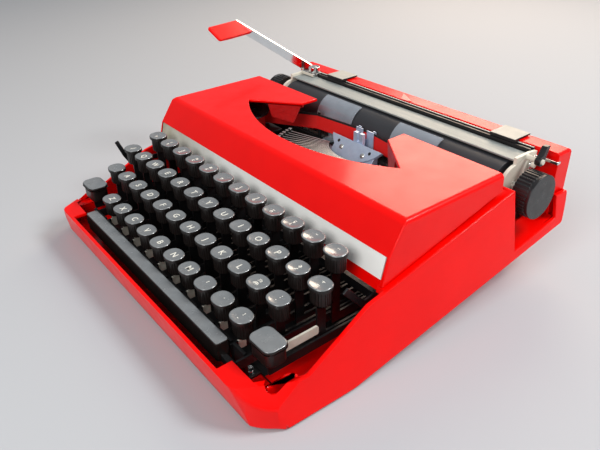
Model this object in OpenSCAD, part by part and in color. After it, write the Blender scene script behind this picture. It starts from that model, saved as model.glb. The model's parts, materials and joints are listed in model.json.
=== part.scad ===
// Portable typewriter: a flared base shell, a hinged ribbon cover, four rows of keys on levers,
// a type basket that drops for capitals, and a carriage that slides across the back.
// X runs to the typist's right, Y towards the back and Z up. The feet stand on Z = 0.

/* [Keyboard] */
// Distance between neighbouring keys in a row
key_pitch = 19.05; // [18.6:0.05:19.4]
// Depth from one row of keys to the next
row_step_y = 17.6; // [17:0.1:18.2]
// Rise from one row of keys to the next
row_step_z = 9.2; // [8.4:0.1:9.6]
// Depth position of the front row of keys
front_row_y = -104; // [-105:0.5:-103]
// Height of the key tops in the front row
front_row_z = 40; // [39:0.5:42]
// Width of a key cap over its lip
cap_w = 14.5; // [13:0.1:15.5]
// Depth of a key cap over its lip
cap_d = 12.5; // [11.5:0.1:13.5]
// Height of a key cap
cap_h = 12; // [10:0.5:13]
// Width of a shift key
shift_w = 20; // [18:0.5:21]
// Depth of a shift key
shift_d = 15; // [13:0.5:16]
// Length of the space bar
space_w = 182; // [170:1:186]
// Depth of the space bar
space_d = 8.5; // [7:0.5:9.5]
// Height of the space bar
space_h = 13; // [10:0.5:14]
// Thickness of a key lever
lever_t = 1.4; // [1:0.1:1.6]
// Height of a key lever
lever_h = 6; // [4:0.5:6.5]
// Radius of the shaft that the key levers turn on
axle_r = 2.5; // [2:0.1:3]

/* [Casing] */
// Half width of the base at its lower edge
base_half_w = 141; // [140:0.5:143]
// Depth position of the front wall
base_front_y = -131; // [-134:0.5:-129.5]
// Depth position of the rear wall
base_rear_y = 127.5; // [126:0.5:132]
// Height of the front rim
rim_z = 25; // [23:0.5:27]
// Wall of the base shell
base_wall = 2.6; // [1.8:0.1:3]
// Radius of the front corners seen from above
front_corner_r = 30; // [20:1:34]
// Height of the ribbon cover's flat top
cover_top_z = 85; // [84:0.5:90]
// Half width of the ribbon cover at its top
cover_half_w = 129; // [127.5:0.5:130]
// Wall of the ribbon cover
cover_wall = 2.2; // [1.6:0.1:2.4]
// Radius of the ribbon cover's hinge pins
hinge_pin_r = 2; // [1.5:0.1:2.5]
// Height of the rear panel
rear_panel_z = 83.6; // [80:0.2:83.8]
// Height of the rubber feet
foot_h = 3; // [2.6:0.1:4]
// Radius of the rubber feet
foot_r = 8; // [6:0.5:10]

/* [Type basket] */
// Number of typebars
typebar_count = 44; // [36:2:46]
// Thickness of a typebar
typebar_t = 1; // [0.8:0.1:1.2]
// Reach of a typebar from the middle of the fan
typebar_reach = 68; // [60:1:70]
// Radius of a ribbon spool
spool_r = 23; // [18:0.5:23.5]
// Height of a ribbon spool
spool_h = 16; // [14:0.5:17]
// Width of the ribbon
ribbon_h = 13; // [12.5:0.1:13.2]

/* [Carriage] */
// Radius of the platen
platen_r = 15.5; // [14:0.1:15.8]
// Half length of the platen
platen_half = 112; // [105:0.5:113]
// Depth position of the platen's axis
platen_y = 91; // [90.5:0.5:92]
// Height of the platen's axis
platen_z = 62.5; // [62:0.1:63]
// Radius of the platen's shaft
shaft_r = 4; // [3:0.1:5]
// Radius of a platen knob
knob_r = 15; // [13:0.1:15.5]
// Length of a platen knob
knob_len = 13; // [10:0.5:14]
// Half width over both platen knobs
knob_half = 139; // [138:0.5:142]
// Length of the return lever's steel arm
return_arm = 88; // [78:1:94]
// Length of the return lever's grip
return_grip = 34; // [28:1:40]

/* [Hidden] */
letters = "qwertyuiopasdfghjklzxcvbnm";
letter_nodes = [for (c = letters) str("key_", c)];
$fn = 96;
far = 400;
// Running clearance of a pin in its hole, and the air between parts that pass each other
fit = 0.05;
gap = 0.4;
// How far a cut runs past a face, or a shape into the one that it joins
over = 1;
red = [0.86, 0.03, 0.02];
steel = [0.72, 0.73, 0.75];
black = [0.07, 0.07, 0.08];
cream = [0.87, 0.85, 0.78];

// Base shell: the lower edge rises towards the back, and the sides lean inwards going up
rise_deg = 10.2;
rise_y = -68;
flare = 0.176;
front_clear = 1.5;
base_floor = front_clear + base_wall;
ledge_front = [-52, 46.4];
wall_climb = 0.5;
ledge_rear = [70.5, 72];
ledge_in = 125.5;
notch_in = 122;
notch_rear_y = 113.5;
notch_floor_front = 31;
notch_floor_rear = 39.4;
low_wall_z = 55;
panel_half_w = 133.5;
rear_corner_r = 9;
front_lean = 5;
corner_cut_x = 124;
corner_cut_y = base_front_y + 10;
corner_tilt = 46;
corner_turn = -30;
corner_plate_x = 101;
corner_plate_y = base_front_y + 12;
pan_front_y = -102;
pan_rear_y = 93;
pan_t = 2;
pan_wall = 1.5;
// Height to which the base is open above the pan
inside_z = 60;

// Feet and screws
foot_x = 98;
foot_front_y = -88;
foot_rear_y = 78;
feet = [for (y = [foot_front_y, foot_rear_y], x = [-foot_x, foot_x]) [x, y]];
screw_r = 1.5;
screw_head_r = 3;
screw_head_h = 1;
screw_hole = 10;

// Trim strip and the bridge that carries it
strip_low = [-38.4, 53.4];
strip_top = [-34.8, 66.7];
strip_half_w = 127.3;
strip_t = 1.2;
bridge_t = 2.2;
bridge_drop = 6.8;
bridge_short = 2.5;
bridge_foot_front = 2;
bridge_foot_d = 5;
bridge_foot_step = 1;
bridge_foot_z = 45.5;
bridge_foot_x = strip_half_w - 1.1;
strip_lean = atan2(strip_top[0] - strip_low[0], strip_top[1] - strip_low[1]);

// Ribbon cover and its hinge
cover_ridge_y = -22.5;
cover_rear_y = 62;
cover_flare = 0.042;
cover_nose = 1.2;
cover_foot = 0.7;
cover_rear_foot = 4;
ridge_share = 0.6;
strip_gap = 0.3;
hinge_y = 58;
hinge_z = 77;
hinge_boss_r = 4.5;
hinge_ear_r = 4.5;
hinge_hole_x = cover_half_w - cover_wall - 0.3;
hinge_pin_play = 0.5;
opening_half = 82.5;
opening_front_y = -5.5;
opening_corner_y = 20.5;
wing = [47, 46];
wing_rear_x = 46;
wing_open = 18;
opening_sag = opening_corner_y - opening_front_y;
opening_r = (opening_half * opening_half + opening_sag * opening_sag) / (2 * opening_sag);
skirt_drop = 15;
skirt_t = 1.6;
skirt_start = [70, 29.6];
skirt_lap = 0.5;
skirt_nose = 7;
skirt_tail = 3;
skirt_tail_drop = 0.75 * skirt_drop;

// Key levers
axle_y = 58;
axle_z = 21;
hub_r = 5;
lever_z = axle_z - lever_h / 2;
lever_top = lever_z + lever_h;
lever_nose = 9;
stem_d = 6;
lip_h = 2.5;
lip_step = 1;
cap_corner = 5;
front_row_x = -82;
home_row_x = -90.7;
top_row_x = -95.9;
figure_row_x = -104;
row_x = [front_row_x, home_row_x, top_row_x, figure_row_x];
row_letters = ["zxcvbnm", "asdfghjkl", "qwertyuiop", ""];
row_keys = [10, 11, 12, 12];
shift_x = 114;
side_key_lever = shift_x - 1.4;
shift_lever = shift_x + 2.2;
shift_arm = [31, 5.4];
lock_x = home_row_x - key_pitch;
back_x = top_row_x - key_pitch;
space_y = -118;
space_z = 30;
space_arms = [-99.95, 102.7];
space_corner = 2;
space_rail_d = 4;
space_rail_h = 4;
bail_y = 50;
bail_z = 30;
bail_r = 2;
bail_eye = 2 * bail_r;
comb_y = -112;
comb_t = 2;
comb_half = space_arms[1] + lever_t / 2;
comb_slot = lever_t + 2 * gap;
comb_sill = 0.8;
comb_foot = [97, -107];
comb_foot_d = 9;

// Sockets in the front corners, beside the pressed shift keys
socket = [shift_x + shift_w / 2 + 3.9, -106.5];
socket_w = 8.4;
socket_d = 20;
socket_t = 1.4;
socket_z = 20;
// Straight stretch between the socket's round ends
socket_flat = 0.2;

// Chassis
frame_x = shift_lever + lever_t / 2 + 0.6;
frame_t = 2;
pan_half_w = frame_x + frame_t + 2;
frame_mid = frame_x + frame_t / 2;
rail = [84, 98, 34, 39.8];
rail_groove = 1.2;
rail_lip = 2;
front_bar = [-31, -27, 28, 34];
plate_lean = 2;
plate_tail = 6;
plate_waist = [71, 52];
print_bar = [66.5, 69.5, 44, 49];
basket_bar = [54.5, 63, 27.5, 31.5];
basket_post = [42, 60];
basket_post_r = 2.5;
basket_post_short = 0.5;
spool_pos = [97, 22];
spool_deck_t = 2;
spool_deck_x = 75;
spool_deck_y = [-2, 47];
spool_room = 3;
spool_pin_r = 3;
drum_x = -60;
drum_z = 23;
drum_r = 15;
drum_pin_r = 2;
drum_pin_past = 2.5;
drum_w = 10;
drum_flange = 1.2;
drum_step = 2;
drum_plate = [12, 8];

// Type basket
fan_y = 66;
fan_angle = 76;
fan_end = fan_angle + 4;
// Half width and depth of the flattened half circle where the bars start
fan_inner = [30, 19];
inner_ring = [23, 33];
outer_ring = [typebar_reach - 12, typebar_reach - 6];
spokes = [-50, 0, 50];
spoke_w = 6;
spoke = [30, typebar_reach - 8];
bar_z = 50;
bar_h = 5;
slug_w = 2.6;
slug_d = 3;
slug_drop = 1;
slug_rise = 2;
basket_t = 3.5;
segment_top = [63, 62];
segment_low = [54, 50];
segment_half = 27;
segment_t = 3;
segment_foot_half = 22;
segment_hole = [17, -4];
segment_hole_r = 1.2;
lug_r = 6;
lug_h = 10;
lug_arm = [20, 3];
type_guide = [10, 3];
type_guide_z = [56, 70];
type_notch = [2.4, 63];
ribbon_t = 0.3;
ribbon_z = 57;
spool_deck_z = ribbon_z - 1.8;
spool_flange = 1.2;
spool_core_r = spool_r - 4;
spool_dimples = 6;
spool_dimple_r = 3;
spool_dimple = 1.3;
ribbon_post = [52, 66];
ribbon_post_r = 1.2;
ribbon_post_back = 2.2;
ribbon_leave_x = 4;
ribbon_front_y = 71.5;
prong_x = 8;
// Route of the ribbon on one side, seen from above: spool, post, vibrator
ribbon_path = [spool_pos + [-ribbon_leave_x, spool_core_r + gap], ribbon_post,
               [prong_x - over, ribbon_front_y], [0, ribbon_front_y]];
prong_w = 3;
prong_d = 3.2;
prong_slit = 1.6;
vibrator_foot_z = 50;
vibrator_web = 3;
vibrator_stem = 4;
vibrator_stem_t = 1.35;
vibrator_stem_z = [35, 52];
vibrator_slot = 4.4;
stem_gap = 0.15;
stem_play = 0.2;
stem_guide = [2.5, 3];
stem_guide_lip = 1.2;

// Card guides
card_gap = 0.8;
card_t = 1;
card_x = [21, 62];
card_top = [-8.5, 30];
card_low = [-30, -6];
card_leg_x = [36, 46];
card_leg = [1.7, 0.6];
card_foot_t = 1.2;

// Carriage
carriage_z = 40.2;
end_x = 116;
end_t = 2.5;
end_front_y = 80;
end_foot_y = 109;
end_rear_y = 112.3;
end_rear_z = [60, 81.5];
end_top = [104, 82.5];
end_round_in = 0.1;
bed_rear_y = 108;
bed_t = 4;
table_z = 79;
table_front_y = 90.8;
table_rear_y = 106.4;
table_t = 1.5;
table_edge = 0.2;
mrail = [107, 112.8, 77, 83];
mgroove = [108.8, 111.2, 80];
stop_rear_y = 125;
stop_w = 20;
stop_left_x = -78;
stop_right_x = 94;
stop_z = 84.3;
stop_t = 1.4;
stop_lap = 1.5;
stop_gap = 0.2;
runner_half = 14;
runner_wall = 3;
runner_gap = 0.15;
knob_rim = 2;
knob_groove = 0.6;
knob_rib = 1.4;
knob_rib_step = 10;
knob_rib_short = 3;
return_pos = [-106, 107.5];
return_z = 84;
return_hub_h = 4.5;
return_hub_r = 5;
return_pin_r = 2.5;
return_turn = 204;
return_pitch = 23;
return_bar = [1.8, 8];
return_lift = -2;
return_seat_y = 102;
return_seat_short = 0.5;
return_grip_turn = 76;
return_grip_tilt = 60;
return_grip_t = 2.4;
return_grip_w = 18;
return_grip_lap = 6;
return_grip_corner = 2.5;
end_pin_r = 1.8;
end_boss_r = 3.2;
release_pos = [105.5, 74];
release_pin = 4;
release_t = 1.6;
release_arm = [6.5, 6];
release_tab = [3.5, 2];
release_tab_w = 17;
release_foot = 2;
lock_pos = [101, 80.5];
lock_pin = 12;
lock_out = 7;
lock_t = 4;
lock_foot = [-2, 3];
lock_head = [3, 7];
lock_h = 9.5;
side_lever_pin = [-25, 42];
side_lever_x = 125.2;
side_boss_r = 3.5;
side_arm_half = 2;
touch_inset = 3.6;
selector_arm = [[-38, 39], [-69.5, 41], [-74, 49], [-79, 62.3], [-76, 63.4], [-70.5, 49.5], [-67, 45],
                [-38, 43]];
touch_arm = [[-38, 36.5], [-47, 36], [-61, 52], [-57.5, 54.5], [-45, 40], [-38, 41]];

// Height of the base's raised lower edge at a depth
function lower_edge(y) = tan(rise_deg) * (y - rise_y);
// A point along a line through two points of a side view, at a depth
function along(a, b, y) = a[1] + (b[1] - a[1]) * (y - a[0]) / (b[0] - a[0]);
// Height of the ledge on top of the side walls
function ledge_z(y) = along(ledge_front, ledge_rear, y);
function row_y(row) = front_row_y + row * row_step_y;
function row_z(row) = front_row_z + row * row_step_z;
function key_x(row, i) = row_x[row] + i * key_pitch;
// Row of a letter, 0 at the front
function letter_row(c) = [for (r = [0:2]) if (len(search(c, row_letters[r])) > 0) r][0];
// Inner end of a typebar: the fan's bars start on a flattened half circle
function bar_start(a) = 1 / sqrt(pow(sin(a) / fan_inner[0], 2) + pow(cos(a) / fan_inner[1], 2));
function bar_angle(k) = fan_angle * (2 * k / (typebar_count - 1) - 1);

// Side view outline, given as [y, z] points, made solid across the width
module across(x0, x1, points) {
    translate([x0, 0, 0]) rotate([90, 0, 90]) linear_extrude(x1 - x0) polygon(points);
}

// Box from one corner to the opposite one
module block(a, b) {
    translate(a) cube(b - a);
}

module both_sides() {
    children();
    mirror([1, 0, 0]) children();
}

// Rod along X
module rod_x(x0, x1, y, z, r) {
    translate([x0, y, z]) rotate([0, 90, 0]) cylinder(r = r, h = x1 - x0);
}

module rounded_rect(w, d, r) {
    square([w - 2 * r, d], center = true);
    square([w, d - 2 * r], center = true);
    for (sx = [-1, 1], sy = [-1, 1]) translate([sx * (w / 2 - r), sy * (d / 2 - r)]) circle(r);
}

// Outline of the base seen from above, drawn in by an inset
module base_plan(inset) {
    rf = front_corner_r - inset;
    rr = rear_corner_r - inset;
    x = base_half_w - inset;
    y0 = base_front_y + inset;
    y1 = base_rear_y - inset;
    translate([-x, y0 + rf]) square([2 * x, y1 - rr - y0 - rf]);
    translate([-x + rf, y0]) square([2 * (x - rf), rf + over]);
    translate([-x + rr, y1 - rr - over]) square([2 * (x - rr), rr + over]);
    for (s = [-1, 1]) {
        translate([s * (x - rf), y0 + rf]) circle(rf);
        translate([s * (x - rr), y1 - rr]) circle(rr);
    }
}

// Block with leaning sides that stands on the raised lower edge, drawn in by an inset
module flared_block(inset) {
    top = 110;
    low = base_half_w - inset - flare * inset;
    high = base_half_w - inset - flare * top;
    translate([0, rise_y, 0]) rotate([rise_deg, 0, 0]) translate([0, far / 2, 0]) rotate([90, 0, 0])
        linear_extrude(far) polygon([[-low, inset], [low, inset], [high, top], [-high, top]]);
}

// Everything below the raised lower edge, lifted by a height
module under_edge(lift) {
    translate([0, rise_y, 0]) rotate([rise_deg, 0, 0]) translate([-far / 2, -far / 2, -far])
        cube([far, far, far + lift]);
}

// Slope that takes away the outer top of each front corner, set back by an inset
module corner_slope(inset) {
    both_sides() translate([corner_cut_x, corner_cut_y, rim_z]) rotate([0, corner_tilt, corner_turn])
        translate([-far / 2, -far / 2, -inset]) cube(far);
}

module base_body(inset, floor_z) {
    difference() {
        intersection() {
            translate([0, 0, floor_z]) linear_extrude(far) base_plan(inset);
            flared_block(inset);
            across(-far / 2, far / 2, [
                [base_front_y + front_lean + inset, 0], [base_front_y + inset, rim_z],
                [base_front_y + inset, far], [far, far], [far, 0]]);
        }
        corner_slope(inset);
    }
}

// Oval socket for the carrying case's catch, on the floor of each front corner
module latch_socket() {
    translate([socket[0], socket[1], front_clear]) linear_extrude(socket_z - front_clear) difference() {
        socket_oval(0);
        socket_oval(socket_t);
    }
}

module socket_oval(inset) {
    rounded_rect(socket_w - 2 * inset, socket_d - 2 * inset, (socket_w - socket_flat) / 2 - inset);
}

module base_outline() {
    across(-far / 2, far / 2, [
        [base_front_y, 0], [base_front_y, rim_z],
        [ledge_front[0] - (ledge_front[1] - rim_z) / wall_climb, rim_z], ledge_front, ledge_rear,
        [ledge_rear[0], notch_floor_front], [notch_rear_y, notch_floor_rear],
        [notch_rear_y, low_wall_z], [base_rear_y, low_wall_z], [base_rear_y, 0]]);
}

// Bridge across the keyboard's back edge, where the trim strip sits
module strip_slab(back, t, low, high) {
    n = [cos(strip_lean), -sin(strip_lean)];
    d = [sin(strip_lean), cos(strip_lean)];
    a = strip_low + back * n + low * d;
    b = strip_top + back * n + high * d;
    across(-strip_half_w, strip_half_w, [a, b, b + t * n, a + t * n]);
}

module base_bridge() {
    y = strip_low[0] - bridge_foot_front;
    top = ledge_z(strip_low[0]);
    strip_slab(strip_t, bridge_t, -bridge_drop, -bridge_short);
    both_sides() intersection() {
        across(bridge_foot_x, far / 3, [
            [y, bridge_foot_z], [y + bridge_foot_step, top], [y + bridge_foot_step + bridge_foot_d, top],
            [y + bridge_foot_d, bridge_foot_z]]);
        base_body(base_wall / 2, 0);
    }
}

// Lips along the top of the side walls, and the floor and front wall of each rear notch
module base_ledges() {
    front = [strip_low[0], ledge_z(strip_low[0])];
    notch_y = ledge_rear[0] - base_wall;
    below = [0, base_wall];
    intersection() {
        both_sides() {
            across(ledge_in, far / 2, [front - below, ledge_rear - below, ledge_rear, front]);
            across(notch_in, far / 2, [
                [notch_y, notch_floor_front] - below, [ledge_rear[0], notch_floor_front] - below,
                ledge_rear, [notch_y, ledge_z(notch_y)]]);
            across(notch_in, far / 2, [
                [notch_y, notch_floor_front] - below, [notch_rear_y + over, notch_floor_rear] - below,
                [notch_rear_y + over, notch_floor_rear], [notch_y, notch_floor_front]]);
        }
        base_body(base_wall / 2, front_clear);
    }
}

module rear_hood() {
    difference() {
        block([-panel_half_w, notch_rear_y, notch_floor_rear], [panel_half_w, base_rear_y, rear_panel_z]);
        block([-panel_half_w + base_wall, notch_rear_y + base_wall, 0],
              [panel_half_w - base_wall, base_rear_y - base_wall, rear_panel_z - base_wall]);
    }
}

module base_shell() color(red) {
    difference() {
        union() {
            intersection() {
                base_body(0, front_clear);
                base_outline();
            }
            rear_hood();
        }
        difference() {
            base_body(base_wall, base_floor);
            both_sides()
                block([corner_plate_x, base_front_y, rim_z - base_wall], [far / 2, corner_plate_y, rim_z]);
            rear_hood();
        }
        block([-pan_half_w, pan_front_y, -over], [pan_half_w, pan_rear_y, inside_z]);
        both_sides() translate([comb_foot[0], comb_foot[1], 0]) cylinder(r = screw_r, h = screw_hole);
        both_sides() translate([socket[0], socket[1], socket_z]) linear_extrude(far) socket_oval(0);
    }
    base_bridge();
    base_ledges();
    both_sides() latch_socket();
}

module bottom_pan() color([0.16, 0.16, 0.17]) {
    x = pan_half_w;
    difference() {
        block([-x, pan_front_y, foot_h], [x, pan_rear_y, inside_z]);
        block([-x + pan_wall, pan_front_y + pan_wall, foot_h + pan_t],
              [x - pan_wall, pan_rear_y - pan_wall, inside_z + over]);
        difference() {
            block([-far / 2, -far / 2, base_floor + over], [far / 2, far / 2, inside_z + over]);
            under_edge(base_wall);
        }
        for (p = feet) translate([p[0], p[1], 0]) cylinder(r = screw_r, h = screw_hole);
    }
}

module rubber_feet() color(black) {
    for (p = feet) translate([p[0], p[1], 0]) difference() {
        cylinder(r = foot_r, h = foot_h);
        translate([0, 0, -over]) cylinder(r = screw_head_r + gap, h = over + foot_h - screw_head_h);
        cylinder(r = screw_r, h = foot_h + over);
    }
}

module screws() color(steel) {
    for (p = feet) translate([p[0], p[1], foot_h - 2 * screw_head_h]) {
        cylinder(r = screw_head_r, h = screw_head_h);
        cylinder(r = screw_r, h = 2 * screw_head_h + pan_t);
    }
    both_sides() translate([comb_foot[0], comb_foot[1], front_clear]) {
        cylinder(r = screw_r, h = base_wall + comb_t + screw_head_h);
        translate([0, 0, base_wall + comb_t]) cylinder(r = screw_head_r, h = 2 * screw_head_h);
    }
}

module trim_strip() color(cream) strip_slab(0, strip_t, 0, 0);

// Side view of the cover, drawn in by a wall
module cover_profile(x0, x1, t) {
    front_y = strip_low[0] - cover_nose + t;
    foot_z = ledge_z(strip_low[0]) + cover_foot;
    below = t > 0 ? far : 0;
    across(x0, x1, [
        [front_y, foot_z - below],
        [front_y, foot_z],
        [strip_top[0] + t, strip_top[1] + strip_gap],
        [cover_ridge_y + ridge_share * t, cover_top_z - t],
        [cover_rear_y - t, cover_top_z - t],
        [cover_rear_y - t, ledge_z(hinge_y) + cover_rear_foot - below]]);
}

module cover_sides(t) {
    low = cover_half_w + cover_flare * cover_top_z - t;
    rotate([90, 0, 0]) linear_extrude(far, center = true)
        polygon([[-low, 0], [low, 0], [cover_half_w - t, cover_top_z], [-cover_half_w + t, cover_top_z]]);
}

module cover_body(t) {
    intersection() {
        cover_profile(-far / 2, far / 2, t);
        cover_sides(t);
    }
}

// Outline of the opening over the type basket
module type_opening() {
    intersection() {
        translate([0, opening_front_y + opening_r]) circle(opening_r, $fn = 192);
        polygon([[-opening_half, -far / 4], [-opening_half, opening_corner_y], [-wing[0], wing[1]],
                 [-wing_rear_x, far / 4], [wing_rear_x, far / 4], [wing[0], wing[1]],
                 [opening_half, opening_corner_y], [opening_half, -far / 4]]);
    }
}

module wing_skirt() {
    way = skirt_start - wing;
    translate([wing[0], wing[1], cover_top_z - cover_wall]) rotate([90, 0, atan2(way[1], way[0])])
        translate([0, 0, -skirt_t]) linear_extrude(skirt_t) polygon([
            [0, skirt_lap], [norm(way), skirt_lap], [norm(way) - skirt_tail, -skirt_tail_drop],
            [skirt_nose, -skirt_drop]]);
}

// Cut through the cover's rear wall, under its top
module rear_wall_cut(x0, x1) {
    both_sides() block([x0, hinge_y - over, 0], [x1, far / 4, cover_top_z - cover_wall]);
}

module ribbon_cover() color(red) {
    difference() {
        union() {
            difference() {
                cover_body(0);
                cover_body(cover_wall);
                block([-strip_half_w - gap, -far / 4, 0],
                      [strip_half_w + gap, cover_ridge_y, strip_top[1] + strip_gap]);
                translate([0, 0, cover_top_z - 2 * cover_wall]) linear_extrude(far / 4) type_opening();
                block([-wing_rear_x, hinge_y, 0], [wing_rear_x, far / 4, far / 4]);
                rear_wall_cut(wing_rear_x - over, wing_rear_x + wing_open);
                rear_wall_cut(frame_x - over, frame_x + frame_t + over);
            }
            both_sides() wing_skirt();
            both_sides() rod_x(frame_x + frame_t + gap, cover_half_w - over, hinge_y, hinge_z, hinge_boss_r);
        }
        both_sides() rod_x(frame_x, hinge_hole_x, hinge_y, hinge_z, hinge_pin_r + fit);
    }
}

// One side plate of the chassis, with the ear for the cover's hinge and the pin of a small lever
module side_plate() {
    floor_z = foot_h + pan_t;
    foot_y = pan_rear_y - pan_wall - gap;
    tail_y = rail[1] + plate_tail;
    difference() {
        union() {
            across(frame_x, frame_x + frame_t, [
                [front_bar[0], floor_z], [foot_y, floor_z], [foot_y, rail[2] + gap], [tail_y, rail[2] + gap],
                [tail_y, rail[3]], [plate_waist[0] + over, rail[3]], plate_waist,
                [hinge_y + hinge_ear_r, hinge_z], [hinge_y - hinge_ear_r, hinge_z],
                [spool_pos[1] + spool_r + spool_room, spool_deck_z],
                [front_bar[0] + plate_lean, spool_deck_z]]);
            rod_x(frame_x, frame_x + frame_t, hinge_y, hinge_z, hinge_ear_r);
        }
        rod_x(frame_x - over, frame_x + frame_t + over, axle_y, axle_z, axle_r);
    }
    rod_x(frame_x, hinge_hole_x - hinge_pin_play, hinge_y, hinge_z, hinge_pin_r);
    rod_x(frame_x, side_lever_x, side_lever_pin[0], side_lever_pin[1], end_pin_r);
}

module spool_deck() {
    block([spool_deck_x, spool_deck_y[0], spool_deck_z - spool_deck_t],
          [frame_mid, spool_deck_y[1], spool_deck_z]);
    translate([spool_pos[0], spool_pos[1], spool_deck_z]) cylinder(r = spool_pin_r, h = spool_h + over);
}

// Comb that guides the levers of the front row and of the space bar
module comb() {
    half_foot = comb_foot_d / 2;
    difference() {
        union() {
            block([-comb_half, comb_y, base_floor], [comb_half, comb_y + comb_t, lever_top + over]);
            both_sides() block([comb_foot[0] - half_foot, comb_y, base_floor],
                               [comb_foot[0] + half_foot, comb_foot[1] + half_foot, base_floor + comb_t]);
        }
        for (x = concat([for (i = [0:row_keys[0] - 1]) key_x(0, i)], space_arms))
            block([x - comb_slot / 2, comb_y - over, base_floor + comb_sill],
                  [x + comb_slot / 2, comb_y + comb_t + over, far / 4]);
        both_sides() translate([comb_foot[0], comb_foot[1], 0]) cylinder(r = screw_r, h = 2 * screw_hole);
    }
}

module carriage_rail() {
    difference() {
        block([-frame_mid, rail[0], rail[2]], [frame_mid, rail[1], rail[3]]);
        for (y = [[rail[0] - over, rail[0] + rail_groove], [rail[1] - rail_groove, rail[1] + over]])
            block([-frame_x, y[0], rail[2] + rail_lip], [frame_x, y[1], rail[3] - rail_lip]);
    }
}

// Guide for the vibrator's stem on the print bar: a cheek and a lip on each side
module stem_guide() {
    x = vibrator_stem + stem_guide[0];
    y = print_bar[1] + stem_guide[1];
    lip_y = print_bar[1] + stem_gap + vibrator_stem_t + stem_play;
    both_sides() {
        block([vibrator_stem + stem_gap, print_bar[1] - over, print_bar[2]], [x, y, print_bar[3]]);
        block([vibrator_stem - stem_guide_lip, lip_y, print_bar[2]], [x, y, print_bar[3]]);
    }
}

module drum_bracket() {
    block([drum_x - drum_plate[0], print_bar[0], drum_z - drum_plate[1]],
          [drum_x + drum_plate[0], print_bar[1], print_bar[2]]);
    translate([drum_x, print_bar[1], drum_z]) rotate([-90, 0, 0])
        cylinder(r = drum_pin_r, h = drum_w + drum_pin_past);
}

module chassis_frame() color([0.5, 0.51, 0.53]) {
    both_sides() {
        side_plate();
        spool_deck();
        translate([basket_post[0], basket_post[1], basket_bar[3]])
            cylinder(r = basket_post_r, h = bar_z - basket_bar[3] - basket_post_short);
        translate([ribbon_post[0], ribbon_post[1] + ribbon_post_back, print_bar[3]])
            cylinder(r = ribbon_post_r, h = ribbon_z + ribbon_h + over - print_bar[3]);
    }
    for (bar = [print_bar, basket_bar, front_bar])
        block([-frame_mid, bar[0], bar[2]], [frame_mid, bar[1], bar[3]]);
    stem_guide();
    drum_bracket();
    comb();
    carriage_rail();
}

module key_axle() color(steel) rod_x(-frame_x - frame_t, frame_x + frame_t, axle_y, axle_z, axle_r);

// Lever plate that turns on the key shaft: its nose reaches in front of the key
module lever(x, nose_y) {
    difference() {
        union() {
            block([x - lever_t / 2, nose_y, lever_z], [x + lever_t / 2, axle_y, lever_top]);
            rod_x(x - lever_t / 2, x + lever_t / 2, axle_y, axle_z, hub_r);
        }
        rod_x(x - lever_t, x + lever_t, axle_y, axle_z, axle_r + fit);
    }
}

// Key cap with a lip, and the stem that stands on its lever
module cap(x, y, z, w, d, h, stem_x) {
    translate([x, y, z - lip_h]) linear_extrude(lip_h) rounded_rect(w, d, cap_corner);
    translate([x, y, z - h]) linear_extrude(h)
        rounded_rect(w - 2 * lip_step, d - 2 * lip_step, cap_corner - lip_step);
    block([stem_x - lever_t / 2, y - stem_d / 2, lever_top - over],
          [stem_x + lever_t / 2, y + stem_d / 2, z - h + over]);
}

module key(row, i) {
    x = key_x(row, i);
    cap(x, row_y(row), row_z(row), cap_w, cap_d, cap_h, x);
    lever(x, row_y(row) - (row == 0 ? lever_nose : stem_d / 2));
}

module letter_key(c) color(black) {
    row = letter_row(c);
    key(row, search(c, row_letters[row])[0]);
}

module figure_keys() color(black)
    for (row = [0:3], i = [len(row_letters[row]):row_keys[row] - 1]) key(row, i);

module backspace_key() color(black) {
    cap(back_x, row_y(2), row_z(2), cap_w, cap_d, cap_h, -side_key_lever);
    lever(-side_key_lever, row_y(2) - stem_d / 2);
}

module shift_lock() color(black) {
    cap(lock_x, row_y(1), row_z(1), cap_w, cap_d, cap_h, lock_x);
    lever(lock_x, row_y(1) - stem_d / 2);
}

// Two keys, and the bail rod that joins their levers
module shift_keys() color(black) {
    both_sides() {
        cap(shift_x, row_y(0), row_z(0), shift_w, shift_d, cap_h, shift_lever);
        lever(shift_lever, row_y(0) - stem_d / 2);
        difference() {
            block([shift_lever - lever_t / 2, bail_y - bail_eye, axle_z],
                  [shift_lever + lever_t / 2, bail_y + bail_eye, bail_z + bail_eye]);
            rod_x(shift_lever - lever_t, shift_lever + lever_t, bail_y, bail_z, bail_r + fit);
        }
    }
    rod_x(-shift_lever - lever_t / 2, shift_lever + lever_t / 2, bail_y, bail_z, bail_r);
    block([shift_lever - lever_t / 2, row_y(0), row_z(0) - cap_h],
          [shift_lever + lever_t / 2, row_y(0) + shift_arm[0], row_z(0) - cap_h + shift_arm[1]]);
}

module space_bar() color(black) {
    low_z = space_z - space_h;
    translate([0, space_y, low_z]) linear_extrude(space_h) rounded_rect(space_w, space_d, space_corner);
    block([space_arms[0] - lever_t / 2, space_y - space_rail_d / 2, low_z],
          [space_arms[1] + lever_t / 2, space_y + space_rail_d / 2, low_z + space_rail_h]);
    for (x = space_arms) lever(x, space_y);
}

// Segment with its slotted face, the rest for the bars and the type guide
module fan_sector(r0, r1) {
    difference() {
        circle(r1);
        circle(r0);
        polygon([[0, 0], far * [sin(fan_end), -cos(fan_end)], [far, far], [-far, far],
                 far * [-sin(fan_end), -cos(fan_end)]]);
    }
}

module segment_face() {
    depth = norm(segment_top - segment_low);
    r = (segment_half * segment_half + depth * depth) / (2 * depth);
    tilt = atan2(segment_top[1] - segment_low[1], segment_top[0] - segment_low[0]);
    translate([0, segment_top[0], segment_top[1]]) rotate([tilt, 0, 0]) translate([0, 0, -over])
        linear_extrude(segment_t) difference() {
            translate([0, r - depth]) circle(r);
            translate([-far, 0]) square(2 * far);
            both_sides() translate(segment_hole) circle(segment_hole_r);
        }
}

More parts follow.
